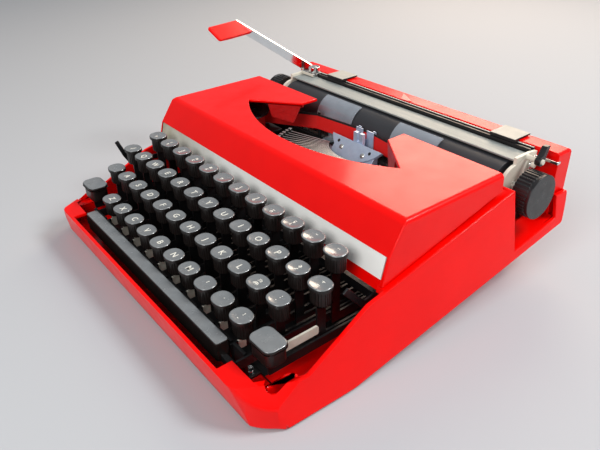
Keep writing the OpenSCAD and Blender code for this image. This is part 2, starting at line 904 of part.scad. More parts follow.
module type_segment() color([0.6, 0.63, 0.7]) {
    low_z = bar_z - basket_t;
    translate([0, fan_y, low_z]) linear_extrude(basket_t) {
        fan_sector(inner_ring[0], inner_ring[1]);
        fan_sector(outer_ring[0], outer_ring[1]);
        for (a = spokes) rotate(a) translate([-spoke_w / 2, -spoke[1]]) square([spoke_w, spoke[1] - spoke[0]]);
    }
    across(-segment_foot_half, segment_foot_half, [
        segment_low - [over, 0], segment_top, [segment_top[0], low_z], [segment_low[0] - over, low_z]]);
    segment_face();
    both_sides() difference() {
        union() {
            translate([basket_post[0], basket_post[1], bar_z - lug_h]) cylinder(r = lug_r, h = lug_h);
            block([lug_arm[0], basket_post[1] - lug_arm[1], low_z], [basket_post[0], segment_top[0], bar_z]);
        }
        translate([basket_post[0], basket_post[1], 0]) cylinder(r = basket_post_r + fit, h = far / 4);
    }
    difference() {
        block([-type_guide[0] / 2, segment_top[0], type_guide_z[0]],
              [type_guide[0] / 2, segment_top[0] + type_guide[1], type_guide_z[1]]);
        block([-type_notch[0] / 2, 0, type_notch[1]], [type_notch[0] / 2, far / 4, far / 4]);
    }
}

module typebars() color(steel)
    for (k = [0:typebar_count - 1]) translate([0, fan_y, 0]) rotate(bar_angle(k)) {
        block([-typebar_t / 2, -typebar_reach, bar_z],
              [typebar_t / 2, -bar_start(bar_angle(k)), bar_z + bar_h]);
        block([-slug_w / 2, -typebar_reach - slug_d, bar_z - slug_drop],
              [slug_w / 2, -typebar_reach, bar_z + bar_h + slug_rise]);
    }

module ribbon_vibrator() color(steel) {
    outer = prong_x + prong_w / 2;
    inner = prong_x - prong_w / 2;
    slit = [ribbon_front_y - prong_slit / 2, ribbon_front_y + prong_slit / 2];
    stem_y = print_bar[1] + stem_gap;
    difference() {
        block([-outer, ribbon_front_y - prong_d / 2, vibrator_foot_z],
              [outer, ribbon_front_y + prong_d / 2, ribbon_z + ribbon_h + over]);
        block([-inner, slit[0], vibrator_foot_z + vibrator_web], [inner, far / 4, far / 4]);
        block([-vibrator_slot / 2, 0, ribbon_z + ribbon_h / 2], [vibrator_slot / 2, far / 4, far / 4]);
        block([-far / 4, slit[0], ribbon_z - gap], [far / 4, slit[1], far / 4]);
    }
    block([-vibrator_stem, stem_y, vibrator_stem_z[0]],
          [vibrator_stem, stem_y + vibrator_stem_t, vibrator_stem_z[1]]);
}

module ribbon() color([0.75, 0.03, 0.04]) {
    n = len(ribbon_path);
    half = concat(ribbon_path, [for (i = [n - 2:-1:0]) [-ribbon_path[i][0], ribbon_path[i][1]]]);
    back = [for (i = [len(half) - 1:-1:0]) half[i] + [0, ribbon_t]];
    translate([0, 0, ribbon_z]) linear_extrude(ribbon_h) polygon(concat(half, back));
}

module ribbon_spool(side) color(black)
    translate([side * spool_pos[0], spool_pos[1], spool_deck_z + gap / 2]) difference() {
        union() {
            cylinder(r = spool_r, h = spool_flange);
            cylinder(r = spool_core_r, h = spool_h);
            translate([0, 0, spool_h - spool_flange]) cylinder(r = spool_r, h = spool_flange);
        }
        translate([0, 0, -over]) cylinder(r = spool_pin_r + fit, h = spool_h + 2 * over);
        for (i = [1:spool_dimples]) rotate(i * 360 / spool_dimples)
            translate([spool_r / 2, 0, spool_h - spool_dimple])
                cylinder(r = spool_dimple_r, h = 2 * spool_dimple);
    }

module ribbon_spool_left() ribbon_spool(-1);
module ribbon_spool_right() ribbon_spool(1);

// Clear guides that hold a card against the platen, on legs from the print bar
module card_guides() color([0.6, 0.65, 0.7, 0.5]) both_sides() {
    r = platen_r + card_gap;
    axis = [platen_y, platen_z];
    leg_y = [platen_y - r - card_leg[0], platen_y - r - card_leg[1]];
    difference() {
        rod_x(card_x[0], card_x[1], platen_y, platen_z, r + card_t);
        rod_x(0, far / 4, platen_y, platen_z, r);
        across(0, far / 4, [axis, axis + card_top, [far / 2, far / 2], [far / 2, -far / 2], axis + card_low]);
    }
    block([card_leg_x[0], leg_y[0], print_bar[3]], [card_leg_x[1], leg_y[1], platen_z]);
    block([card_leg_x[0], print_bar[0], print_bar[3]], [card_leg_x[1], leg_y[1], print_bar[3] + card_foot_t]);
}

module mainspring_drum() color([0.45, 0.45, 0.42])
    translate([drum_x, print_bar[1] + gap, drum_z]) rotate([-90, 0, 0]) difference() {
        union() {
            cylinder(r = drum_r, h = drum_flange);
            cylinder(r = drum_r - drum_step, h = drum_w);
            translate([0, 0, drum_w - drum_flange]) cylinder(r = drum_r, h = drum_flange);
        }
        translate([0, 0, -over]) cylinder(r = drum_pin_r + fit, h = drum_w + 2 * over);
    }

// Small levers beside the keyboard, each on a pin of the chassis: the points give its arm
module side_lever(x, arm) {
    half = [0, side_arm_half];
    difference() {
        union() {
            rod_x(frame_x + frame_t + gap, side_lever_x, side_lever_pin[0], side_lever_pin[1], side_boss_r);
            across(x, x + lever_t, concat([side_lever_pin - half], arm, [side_lever_pin + half]));
        }
        rod_x(0, far, side_lever_pin[0], side_lever_pin[1], end_pin_r + fit);
    }
}

module ribbon_selector() color(black) mirror([1, 0, 0]) side_lever(side_lever_x - lever_t, selector_arm);

module touch_lever() color(black) side_lever(side_lever_x - touch_inset, touch_arm);

// One carriage end plate: its front keeps within the platen's circle, so that it passes the card guides
module end_plate() {
    across(end_x, end_x + end_t, [
        [end_front_y, carriage_z], [end_foot_y, carriage_z], [end_rear_y, end_rear_z[0]],
        [end_rear_y, end_rear_z[1]], end_top, [platen_y - over, end_top[1]], [platen_y - over, platen_z],
        [end_front_y, platen_z]]);
    rod_x(end_x, end_x + end_t, platen_y, platen_z, platen_r - end_round_in);
}

// Runner that hangs over the carriage rail and reaches into its grooves
module carriage_runner() {
    difference() {
        block([-runner_half, rail[0] - runner_wall, rail[2]], [runner_half, rail[1] + runner_wall, carriage_z]);
        block([-far, rail[0] - runner_gap, 0], [far, rail[1] + runner_gap, carriage_z]);
    }
    tongue = rail_groove - runner_gap;
    play = rail_lip + 2 * runner_gap;
    for (y = [rail[0] - runner_gap, rail[1] - rail_groove + 2 * runner_gap])
        block([-runner_half, y, rail[2] + play], [runner_half, y + tongue, rail[3] - play]);
}

// Seat and pin of the return lever
module return_seat() {
    left = -end_x - end_t;
    right = return_pos[0] + return_hub_r;
    rear = mrail[1] - return_seat_short;
    block([left, return_seat_y, table_z + table_t + gap], [right, rear, return_z - gap]);
    block([left, mrail[0], mrail[2]], [right, rear, return_z - over]);
    translate([return_pos[0], return_pos[1], mrail[3] - over])
        cylinder(r = return_pin_r, h = return_z + return_hub_h + over - mrail[3]);
}

module carriage_frame() color(steel) {
    block([-end_x - over, end_front_y, carriage_z], [end_x + over, bed_rear_y, carriage_z + bed_t]);
    difference() {
        both_sides() end_plate();
        rod_x(-far, far, platen_y, platen_z, shaft_r + fit);
    }
    carriage_runner();
    return_seat();
    rod_x(end_x, end_x + end_t + release_pin, release_pos[0], release_pos[1], end_pin_r);
    rod_x(end_x, end_x + end_t + lock_pin, lock_pos[0], lock_pos[1], end_pin_r);
}

module paper_table() color([0.78, 0.78, 0.76])
    across(-end_x, end_x, [
        [table_front_y, table_z + table_edge], [table_rear_y, table_z], [table_rear_y, table_z + table_t],
        [table_front_y, table_z + table_t]]);

module margin_rail() color(black) difference() {
    block([return_pos[0] + return_hub_r, mrail[0], mrail[2]], [end_x, mrail[1], mrail[3]]);
    block([-far, mgroove[0], mgroove[2]], [far, mgroove[1], far]);
}

module margin_stop(x) color(cream) {
    left = x - stop_w / 2;
    right = x + stop_w / 2;
    block([left, mgroove[0] - stop_lap, mrail[3] + stop_gap], [right, mgroove[1] + stop_lap, stop_z]);
    block([left, mgroove[0] + stop_gap, mgroove[2] + gap], [right, mgroove[1] - stop_gap, stop_z]);
    block([left, mgroove[0] - stop_lap, stop_z], [right, stop_rear_y, stop_z + stop_t]);
}

module left_margin_stop() margin_stop(stop_left_x);
module right_margin_stop() margin_stop(stop_right_x);

module platen() color([0.2, 0.2, 0.21]) difference() {
    rod_x(-platen_half, platen_half, platen_y, platen_z, platen_r);
    rod_x(-far, far, platen_y, platen_z, shaft_r);
}

module platen_knobs() color(black) {
    rod_x(-knob_half + knob_rim, knob_half - knob_rim, platen_y, platen_z, shaft_r);
    both_sides() {
        rod_x(knob_half - knob_len, knob_half, platen_y, platen_z, knob_r - knob_groove);
        for (a = [knob_rib_step:knob_rib_step:360])
            translate([knob_half - knob_len, platen_y, platen_z]) rotate([a, 0, 0])
                translate([0, knob_r - knob_rib, -knob_rib / 2])
                    cube([knob_len - knob_rib_short, knob_rib, knob_rib]);
        rod_x(knob_half - knob_rim, knob_half, platen_y, platen_z, knob_r);
    }
}

// Return lever, drawn along its own length and turned to where it rests
module return_place() {
    translate([return_pos[0], return_pos[1], return_z]) rotate(return_turn) children();
}

module return_lever() color(steel) return_place() {
    difference() {
        union() {
            cylinder(r = return_hub_r, h = return_hub_h);
            translate([0, 0, return_hub_h / 2]) rotate([0, -return_pitch, 0])
                block([0, -return_bar[0] / 2, return_lift - return_bar[1] / 2],
                      [return_arm, return_bar[0] / 2, return_lift + return_bar[1] / 2]);
        }
        translate([0, 0, -over]) cylinder(r = return_pin_r + fit, h = far / 4);
        block([-far, -far, -far], [far, far, 0]);
    }
}

// Finger pad: a plate that leans against the front of the bar's end, so that it faces the left hand
module return_lever_grip() color(red) return_place() difference() {
    bar_top = return_lift + return_bar[1] / 2;
    tip = [return_arm * cos(return_pitch) - bar_top * sin(return_pitch), return_bar[0] / 2,
           return_hub_h / 2 + return_arm * sin(return_pitch) + bar_top * cos(return_pitch)];
    translate(tip) rotate([90 + return_grip_tilt, 0, return_grip_turn])
        translate([(return_grip - return_grip_lap) / 2, -return_grip_w / 2, 0]) linear_extrude(return_grip_t)
            rounded_rect(return_grip + return_grip_lap, return_grip_w, return_grip_corner);
    block([-far, -far, -far], [far, return_bar[0] / 2, far]);
}

module paper_release_lever() color(steel) {
    x = end_x + end_t + gap;
    tip = release_pos + release_arm;
    tab = tip - release_tab;
    difference() {
        union() {
            rod_x(x, x + release_t, release_pos[0], release_pos[1], end_boss_r);
            block([x, release_pos[0], release_pos[1] - release_foot], [x + release_t, tip[0], tip[1]]);
            block([x, tab[0], tab[1]], [x + release_tab_w, tip[0], tip[1]]);
        }
        rod_x(x - over, x + release_t + over, release_pos[0], release_pos[1], end_pin_r + fit);
    }
}

module carriage_lock_lever() color(black) {
    x = end_x + end_t + lock_out;
    difference() {
        union() {
            rod_x(x, x + lock_t, lock_pos[0], lock_pos[1], end_boss_r);
            across(x, x + lock_t, [
                lock_pos + [lock_foot[0], 0], lock_pos + [lock_foot[1], 0],
                lock_pos + [lock_head[1], lock_h], lock_pos + [lock_head[0], lock_h]]);
        }
        rod_x(x - over, x + lock_t + over, lock_pos[0], lock_pos[1], end_pin_r + fit);
    }
}

base_shell();
bottom_pan();
rubber_feet();
trim_strip();
chassis_frame();
key_axle();
screws();
ribbon_cover();
type_segment();
typebars();
ribbon_vibrator();
ribbon();
ribbon_spool_left();
ribbon_spool_right();
card_guides();
mainspring_drum();
ribbon_selector();
touch_lever();
carriage_frame();
paper_table();
margin_rail();
left_margin_stop();
right_margin_stop();
platen();
platen_knobs();
return_lever();
return_lever_grip();
paper_release_lever();
carriage_lock_lever();
space_bar();
shift_keys();
shift_lock();
backspace_key();
figure_keys();
for (c = letters) letter_key(c);
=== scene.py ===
"""A red portable typewriter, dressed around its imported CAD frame.

Every CAD node is shown through a copy with softened edges, except where a piece has a fuller form:
key caps, ribbon, scale and the small fittings are modelled here. Sizes and places are in millimetres,
and lamps and floor in metres.
"""
import json
import math

import bmesh
import bpy
from mathutils import Matrix, Vector


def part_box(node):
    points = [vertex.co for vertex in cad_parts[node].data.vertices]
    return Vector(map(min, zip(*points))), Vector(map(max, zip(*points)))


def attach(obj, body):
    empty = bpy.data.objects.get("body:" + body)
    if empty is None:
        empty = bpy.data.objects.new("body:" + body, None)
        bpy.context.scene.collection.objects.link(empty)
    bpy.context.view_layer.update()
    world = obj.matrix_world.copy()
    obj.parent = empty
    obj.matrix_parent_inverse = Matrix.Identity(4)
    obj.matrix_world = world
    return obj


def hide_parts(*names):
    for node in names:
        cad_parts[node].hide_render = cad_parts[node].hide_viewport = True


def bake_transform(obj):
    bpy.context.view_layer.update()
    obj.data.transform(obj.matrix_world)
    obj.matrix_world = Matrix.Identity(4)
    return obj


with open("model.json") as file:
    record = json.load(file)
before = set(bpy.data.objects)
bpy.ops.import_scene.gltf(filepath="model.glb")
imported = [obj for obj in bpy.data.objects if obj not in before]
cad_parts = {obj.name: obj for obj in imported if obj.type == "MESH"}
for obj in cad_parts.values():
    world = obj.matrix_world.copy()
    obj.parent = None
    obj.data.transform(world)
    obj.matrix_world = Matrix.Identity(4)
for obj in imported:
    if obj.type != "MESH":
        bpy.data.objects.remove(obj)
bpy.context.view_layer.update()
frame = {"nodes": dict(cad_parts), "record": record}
nodes = frame["nodes"]
body_of = {n: b for b, ns in frame["record"]["behaviour"]["bodies"].items() for n in ns}
MM = 0.001


def mm(*v):
    """A point given in millimetres."""
    return Vector(v) * MM


# Materials

# Colour sockets of a Mix node
MIX_A, MIX_B, MIX_RESULT = 6, 7, 2
# Most of a noise lies between these values
NOISE_LOW, NOISE_HIGH = 0.3, 0.7
# The strip's painted reflection goes from dark to bright between these places, with a ragged edge
GLARE_FROM_X, GLARE_TO_X, GLARE_GRAIN, GLARE_SPREAD = -127, -10, 9, 0.4
# The ribbon is black above this height, and its weave has this pitch and depth
RIBBON_SPLIT_Z, WEAVE_PITCH, WEAVE_DEPTH = 68.2, 0.5, 0.03


def linear(hex_colour):
    """An sRGB hex colour as linear RGBA."""
    out = []
    for i in (1, 3, 5):
        c = int(hex_colour[i:i + 2], 16) / 255
        out.append(c / 12.92 if c <= 0.04045 else ((c + 0.055) / 1.055) ** 2.4)
    return (*out, 1.0)


def add(tree, kind, inputs=None, **settings):
    """Adds one shader node: inputs maps a socket to a value or to another node's output."""
    node = tree.nodes.new(kind)
    for name, value in settings.items():
        setattr(node, name, value)
    for name, value in (inputs or {}).items():
        if isinstance(value, bpy.types.NodeSocket):
            tree.links.new(value, node.inputs[name])
        else:
            node.inputs[name].default_value = value
    return node


def blank(name, **sockets):
    """A new material, its tree, its Principled shader and its Object coordinates."""
    mat = bpy.data.materials.new(name)
    mat.use_nodes = True
    tree = mat.node_tree
    shader = tree.nodes["Principled BSDF"]
    for socket, value in sockets.items():
        shader.inputs[socket.replace("_", " ")].default_value = value
    coords = add(tree, "ShaderNodeTexCoord").outputs["Object"]
    return mat, tree, shader, coords


def waves(millimetres):
    """Noise scale for a grain of that width."""
    return 1 / (millimetres * MM)


def grain(tree, coords, size, detail, stretch):
    """Noise with patches of a size in millimetres."""
    mapped = add(tree, "ShaderNodeMapping", {"Vector": coords, "Scale": stretch})
    noise = add(tree, "ShaderNodeTexNoise",
                {"Vector": mapped.outputs[0], "Scale": waves(size), "Detail": detail})
    return noise.outputs["Fac"]


def mottle(tree, coords, shader, low, high, size, stretch=(1, 1, 1)):
    """Base colour drifting between two hex colours in patches of a size in millimetres."""
    noise = grain(tree, coords, size, detail=3.0, stretch=stretch)
    tint = add(tree, "ShaderNodeMix", {"Factor": noise, MIX_A: linear(low), MIX_B: linear(high)},
               data_type="RGBA")
    tree.links.new(tint.outputs[MIX_RESULT], shader.inputs["Base Color"])


def gloss_range(tree, coords, shader, low, high, size, stretch=(1, 1, 1)):
    """Roughness drifting between two values in patches of a size in millimetres."""
    noise = grain(tree, coords, size, detail=4.0, stretch=stretch)
    span = add(tree, "ShaderNodeMapRange",
               {"Value": noise, "From Min": NOISE_LOW, "From Max": NOISE_HIGH, "To Min": low, "To Max": high})
    tree.links.new(span.outputs[0], shader.inputs["Roughness"])


def relief(tree, coords, shader, size, height, stretch=(1, 1, 1)):
    """Bump from a grain of a size in millimetres and a height in millimetres."""
    noise = grain(tree, coords, size, detail=2.0, stretch=stretch)
    bump = add(tree, "ShaderNodeBump", {"Height": noise, "Distance": height * MM, "Strength": 1.0})
    tree.links.new(bump.outputs[0], shader.inputs["Normal"])


def stove_enamel_red():
    """Sprayed and baked enamel: saturated red with a hard shine on the edges and a faint orange peel."""
    mat, tree, shader, coords = blank("stove enamel red, sprayed", IOR=1.5, Specular_IOR_Level=0.08,
                                      Coat_Weight=0.28, Coat_Roughness=0.13)
    mottle(tree, coords, shader, "#E80200", "#F90501", size=26)
    gloss_range(tree, coords, shader, 0.28, 0.42, size=14)
    relief(tree, coords, shader, size=2.2, height=0.02)
    return mat


def crackle_enamel_red():
    """Heavy textured enamel on the opening's skirts: darker, its gloss broken by the grain."""
    mat, tree, shader, coords = blank("crackle enamel dark red, sprayed thick", IOR=1.5)
    mottle(tree, coords, shader, "#A80C0E", "#D61A18", size=3)
    gloss_range(tree, coords, shader, 0.32, 0.5, size=4)
    relief(tree, coords, shader, size=1.2, height=0.25)
    return mat


def acrylic_pink():
    """Moulded acrylic gone milky: the pointer reads pink on the red panel."""
    mat, tree, shader, coords = blank("acrylic pink, moulded", IOR=1.49)
    mottle(tree, coords, shader, "#E0504A", "#F07068", size=5)
    gloss_range(tree, coords, shader, 0.3, 0.4, size=5)
    return mat


def abs_black():
    """Moulded ABS, black: handled plastic with a soft shine."""
    mat, tree, shader, coords = blank("ABS black, moulded", IOR=1.53)
    mottle(tree, coords, shader, "#111112", "#1B1B1D", size=6)
    gloss_range(tree, coords, shader, 0.24, 0.4, size=5)
    relief(tree, coords, shader, size=0.8, height=0.008)
    return mat


def abs_key_black():
    """Moulded ABS sides of the caps: brown-black, with the soft shine of handled plastic."""
    mat, tree, shader, coords = blank("ABS key black, moulded", IOR=1.5, Specular_IOR_Level=0.4)
    mottle(tree, coords, shader, "#0F0C0B", "#1B1513", size=4)
    gloss_range(tree, coords, shader, 0.28, 0.42, size=4)
    relief(tree, coords, shader, size=0.9, height=0.006)
    return mat


def abs_key_painted_sheen():
    """The caps' tops: a greyer skin painted on the black plastic as the sky's reflection, which also mirrors
    the sky softly.
    """
    mat, tree, shader, coords = blank("ABS key black, top painted grey as sky reflection", IOR=1.7, Coat_Weight=0.6,
                                      Coat_Roughness=0.1, Coat_IOR=1.7)
    mottle(tree, coords, shader, "#66696A", "#7E8182", size=5)
    gloss_range(tree, coords, shader, 0.16, 0.3, size=4)
    return mat


def legend_ivory():
    """Second plastic shot into the caps for the letters: ivory white."""
    mat, tree, shader, coords = blank("ABS legend ivory, double shot", IOR=1.53, Roughness=0.42)
    mottle(tree, coords, shader, "#DEDACB", "#F0EDE2", size=3)
    return mat


def nylon_cream():
    """Moulded nylon, cream gone dull: the tabs of the margin stops."""
    mat, tree, shader, coords = blank("nylon cream, moulded", IOR=1.53, Specular_IOR_Level=0.25)
    mottle(tree, coords, shader, "#A8A59A", "#BCB9AE", size=5)
    gloss_range(tree, coords, shader, 0.35, 0.5, size=4)
    return mat


def rubber_black():
    """Ground rubber: dull grey-black with a fine matt grain."""
    mat, tree, shader, coords = blank("rubber black, ground", IOR=1.52)
    mottle(tree, coords, shader, "#26272A", "#34363A", size=8, stretch=(0.3, 1, 1))
    gloss_range(tree, coords, shader, 0.42, 0.58, size=6, stretch=(0.3, 1, 1))
    relief(tree, coords, shader, size=0.7, height=0.015)
    return mat


def aluminium_brushed():
    """Brushed and lacquered aluminium: pale grey, with long streaks along the width."""
    mat, tree, shader, coords = blank("aluminium brushed, lacquered", Metallic=0.25, Specular_IOR_Level=0.3)
    mottle(tree, coords, shader, "#8B908D", "#A3A8A4", size=2.2, stretch=(0.04, 1, 1))
    gloss_range(tree, coords, shader, 0.45, 0.6, size=1.2, stretch=(0.03, 1, 1))
    relief(tree, coords, shader, size=0.5, height=0.006, stretch=(0.03, 1, 1))
    return mat


def aluminium_painted_glare():
    """The trim strip: lacquered sheet, straw-dark towards its left end and bright towards its right end, as
    painted reflection.
    """
    mat, tree, shader, coords = blank("aluminium sheet lacquered, painted glare", Metallic=0.15, IOR=1.5)
    place = add(tree, "ShaderNodeSeparateXYZ", {"Vector": coords})
    along = add(tree, "ShaderNodeMapRange",
                {"Value": place.outputs["X"], "From Min": GLARE_FROM_X * MM, "From Max": GLARE_TO_X * MM})
    noise = add(tree, "ShaderNodeTexNoise", {"Vector": coords, "Scale": waves(GLARE_GRAIN), "Detail": 4.0})
    spread = add(tree, "ShaderNodeMath", {0: noise.outputs["Fac"], 1: GLARE_SPREAD, 2: along.outputs[0]},
                 operation="MULTIPLY_ADD")
    tint = add(tree, "ShaderNodeMix",
               {"Factor": spread.outputs[0], MIX_A: linear("#94895F"), MIX_B: linear("#FDFCF6")},
               data_type="RGBA", clamp_factor=True)
    tree.links.new(tint.outputs[MIX_RESULT], shader.inputs["Base Color"])
    gloss_range(tree, coords, shader, 0.28, 0.44, size=6)
    return mat


def chrome_polished():
    """Polished chrome plate: mirror bright, with a trace of handling marks."""
    mat, tree, shader, coords = blank("chrome plate, polished", Metallic=1.0)
    mottle(tree, coords, shader, "#DADBDC", "#EDEDEE", size=6)
    gloss_range(tree, coords, shader, 0.06, 0.16, size=5)
    return mat


def steel_nickelled():
    """Pressed steel, nickel plated: bright warm grey with a fine grain."""
    mat, tree, shader, coords = blank("steel nickel plated, pressed", Metallic=0.85)
    mottle(tree, coords, shader, "#BDBCB7", "#DAD9D3", size=5)
    gloss_range(tree, coords, shader, 0.22, 0.38, size=3)
    relief(tree, coords, shader, size=0.6, height=0.005)
    return mat


def steel_zinc():
    """Sheared steel, zinc plated and yellowed with age: the tips of the key levers and the shift arm."""
    mat, tree, shader, coords = blank("steel zinc plated, sheared", Metallic=0.3, IOR=1.5)
    mottle(tree, coords, shader, "#CBC5B2", "#EAE6D9", size=4)
    gloss_range(tree, coords, shader, 0.36, 0.52, size=3)
    return mat


def steel_blued():
    """Milled and plated segment: cool blue-grey steel with a satin face."""
    mat, tree, shader, coords = blank("steel blue-grey, milled", Metallic=0.55)
    mottle(tree, coords, shader, "#B4C2D8", "#D2DEF0", size=4)
    gloss_range(tree, coords, shader, 0.3, 0.45, size=3)
    relief(tree, coords, shader, size=0.5, height=0.006, stretch=(1, 1, 0.1))
    return mat


def steel_ground():
    """Ground typebars: plain bright steel edges, satin so that each bar reads on its own."""
    mat, tree, shader, coords = blank("steel bright, ground", Metallic=0.6)
    mottle(tree, coords, shader, "#D2D1CC", "#EFEEEA", size=6)
    gloss_range(tree, coords, shader, 0.34, 0.5, size=4)
    return mat


def steel_painted(name, low, high):
    """Pressed steel with satin paint."""
    mat, tree, shader, coords = blank(name, IOR=1.5)
    mottle(tree, coords, shader, low, high, size=9)
    gloss_range(tree, coords, shader, 0.36, 0.52, size=7)
    relief(tree, coords, shader, size=1.2, height=0.01)
    return mat


def polystyrene_clear():
    """Moulded clear polystyrene gone slightly grey: the card guides."""
    mat, tree, shader, coords = blank("polystyrene clear grey, moulded", Transmission_Weight=0.35, IOR=1.5,
                                      Alpha=0.7)
    mottle(tree, coords, shader, "#A2ABB4", "#B6BFC8", size=8)
    gloss_range(tree, coords, shader, 0.1, 0.2, size=6)
    return mat


def cloth_inked():
    """Woven nylon ribbon, inked black above and red below, its weave drawn coarse so that it shows."""
    mat, tree, shader, coords = blank("nylon ribbon inked, woven", Roughness=0.75)
    split = add(tree, "ShaderNodeSeparateXYZ", {"Vector": coords})
    upper = add(tree, "ShaderNodeMath", {0: split.outputs["Z"], 1: RIBBON_SPLIT_Z * MM},
                operation="GREATER_THAN")
    tint = add(tree, "ShaderNodeMix",
               {"Factor": upper.outputs[0], MIX_A: linear("#E0120C"), MIX_B: linear("#1A1414")},
               data_type="RGBA")
    tree.links.new(tint.outputs[MIX_RESULT], shader.inputs["Base Color"])
    weave = add(tree, "ShaderNodeTexWave", {"Vector": coords, "Scale": waves(WEAVE_PITCH) / math.tau},
                bands_direction="Z")
    bump = add(tree, "ShaderNodeBump", {"Height": weave.outputs["Fac"], "Distance": WEAVE_DEPTH * MM})
    tree.links.new(bump.outputs[0], shader.inputs["Normal"])
    return mat


enamel = stove_enamel_red()
crackle = crackle_enamel_red()
pink = acrylic_pink()
black = abs_black()
key_black = abs_key_black()
# Key tops: grey painted reflection of the sky on black caps
key_top_sheen = abs_key_painted_sheen()
ivory = legend_ivory()
cream = nylon_cream()
rubber = rubber_black()
aluminium = aluminium_brushed()
strip = aluminium_painted_glare()
chrome = chrome_polished()
nickel = steel_nickelled()
zinc = steel_zinc()
blued = steel_blued()
bright = steel_ground()
satin_black = steel_painted("steel painted satin black", "#0B0B0C", "#141415")
cream_plate = steel_painted("steel painted cream", "#D2CCBA", "#E4DFD0")
# Painted shade: the typebars' sides, dark against their bright tops
typebar_side_shade = steel_painted("steel, painted shade on typebar sides", "#1C1B1A", "#2C2A28")
clear = polystyrene_clear()
inked = cloth_inked()


# Mesh helpers

# Points closer than this are merged, and faces flatter than this are joined
MERGE, FLAT_ANGLE = 0.002 * MM, math.radians(0.5)
# Edges over the first angle are rounded, and shading breaks over the second
SHARP_ANGLE, SHADE_ANGLE = math.radians(30), math.radians(38)
# Edges under so many radii are in a rounding's way, unless they run on with a cosine under the second value
CROWDED, RUNS_ON = 1.7, -0.75
WIDE_SEGMENTS = 6
# Points as near as this lie on a cut
CUT_REACH = 0.001 * MM


def piece(name, bm, body, materials):
    """Turns a bmesh, already in place, into a piece that rides on a body."""
    mesh = bpy.data.meshes.new(name)
    bm.to_mesh(mesh)
    bm.free()
    mesh.shade_smooth()
    mesh.set_sharp_from_angle(angle=SHADE_ANGLE)
    for m in materials:
        mesh.materials.append(m)
    obj = bpy.data.objects.new(name, mesh)
    bpy.context.scene.collection.objects.link(obj)
    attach(obj, body)
    return obj


def cad_copy(node):
    """A merged copy of a CAD node's mesh, its flat faces joined."""
    bm = bmesh.new()
    bm.from_mesh(nodes[node].data)
    bmesh.ops.remove_doubles(bm, verts=bm.verts, dist=MERGE)
    bmesh.ops.dissolve_limit(bm, angle_limit=FLAT_ANGLE, verts=bm.verts, edges=bm.edges)
    for face in bm.faces:
        face.material_index = 0
    return bm


def is_sharp(edge):
    """True for an edge between two faces that meet at a marked angle."""
    return len(edge.link_faces) == 2 and edge.calc_face_angle(0) > SHARP_ANGLE


def has_room(edge, radius):
    """True if no short edge at either end would be swallowed by a rounding of that radius."""
    for vert in edge.verts:
        along = (edge.other_vert(vert).co - vert.co).normalized()
        for other in vert.link_edges:
            if other is edge or other.calc_length() > CROWDED * radius * MM:
                continue
            onward = (other.other_vert(vert).co - vert.co).normalized()
            if not is_sharp(other) or along.dot(onward) > RUNS_ON:
                return False
    return True


def bevelled(bm, edges, radius, segments):
    """Rounds edges with a radius in millimetres."""
    bmesh.ops.bevel(bm, geom=edges, offset=radius * MM, offset_type="OFFSET", segments=segments, profile=0.5,
                    affect="EDGES", clamp_overlap=False, material=-1)


def sliced(bm, place, normal, clear_outer=False):
    """Parts the faces along a plane, and drops what is beyond it if asked to."""
    bmesh.ops.bisect_plane(bm, geom=list(bm.verts) + list(bm.edges) + list(bm.faces), dist=CUT_REACH,
                           plane_co=place, plane_no=normal, clear_outer=clear_outer)


def closed(bm):
    """Fills the holes that a cut has left."""
    bmesh.ops.holes_fill(bm, edges=[e for e in bm.edges if e.is_boundary])


def cleaned(bm, node):
    """Takes out thin faces that roundings leave, and keeps the points inside the CAD node's box."""
    bmesh.ops.remove_doubles(bm, verts=bm.verts, dist=MERGE)
    bmesh.ops.dissolve_degenerate(bm, edges=bm.edges, dist=MERGE)
    low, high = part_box(node)
    for vert in bm.verts:
        vert.co = [min(max(c, a), b) for c, a, b in zip(vert.co, low, high)]


def softened(node, radius, materials, pick=None, segments=2, wide=(), slices=()):
    """A CAD node with softened edges.

    pick(face) gives a face's material, wide holds tests of edges with own radii, slices holds values of x
    where faces are parted so that pick can tell the parts.
    """
    bm = cad_copy(node)
    for x in slices:
        sliced(bm, mm(x, 0, 0), (1, 0, 0))
    if pick:
        for face in bm.faces:
            face.material_index = int(pick(face))
    for test, wide_radius in wide:
        convex = [e for e in bm.edges if is_sharp(e) and e.calc_face_angle_signed(0) > 0 and test(e)]
        bevelled(bm, [e for e in convex if has_room(e, wide_radius)], wide_radius, WIDE_SEGMENTS)
    bevelled(bm, [e for e in bm.edges if is_sharp(e) and has_room(e, radius)], radius, segments)
    cleaned(bm, node)
    obj = piece(node + "_finished", bm, body_of[node], materials)
    flat = obj.modifiers.new("flat faces stay flat", "WEIGHTED_NORMAL")
    flat.keep_sharp = True
    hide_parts(node)


def middle(thing):
    """The middle of a face or an edge, in millimetres."""
    return sum((v.co for v in thing.verts), Vector()) / len(thing.verts) / MM


# Casing

# How much of a normal lies along an axis: leaning that way, facing it, and the limits of a flared wall
LEANS, FACES, WALL_UP, WALL_DOWN = 0.3, 0.5, 0.62, -0.45
# The end walls lie beyond END_Y, the front corners beyond CORNER_X and before CORNER_Y
END_Y, CORNER_X, CORNER_Y = 100, 95, -60
CORNER_R, LOWER_R, OUTER_R, RIDGE_R = 7, 2.4, 1.9, 3.2
# The front wall's inside is black behind the space bar, as painted shade
FRONT_WALL_Y, FRONT_WALL_X = (-130, -105), 110
# The skirts hang beside the opening, under the cover's top
SKIRT_X, SKIRT_Y, SKIRT_Z = 72, 28, 83.2
# The cover's front ridge: its level part, and its two corners
RIDGE_X, RIDGE_Y, RIDGE_Z = 100, -10, 84.5
RIDGE_CORNER_X, RIDGE_CORNER_Y, RIDGE_CORNER_Z = 118, -15, 48
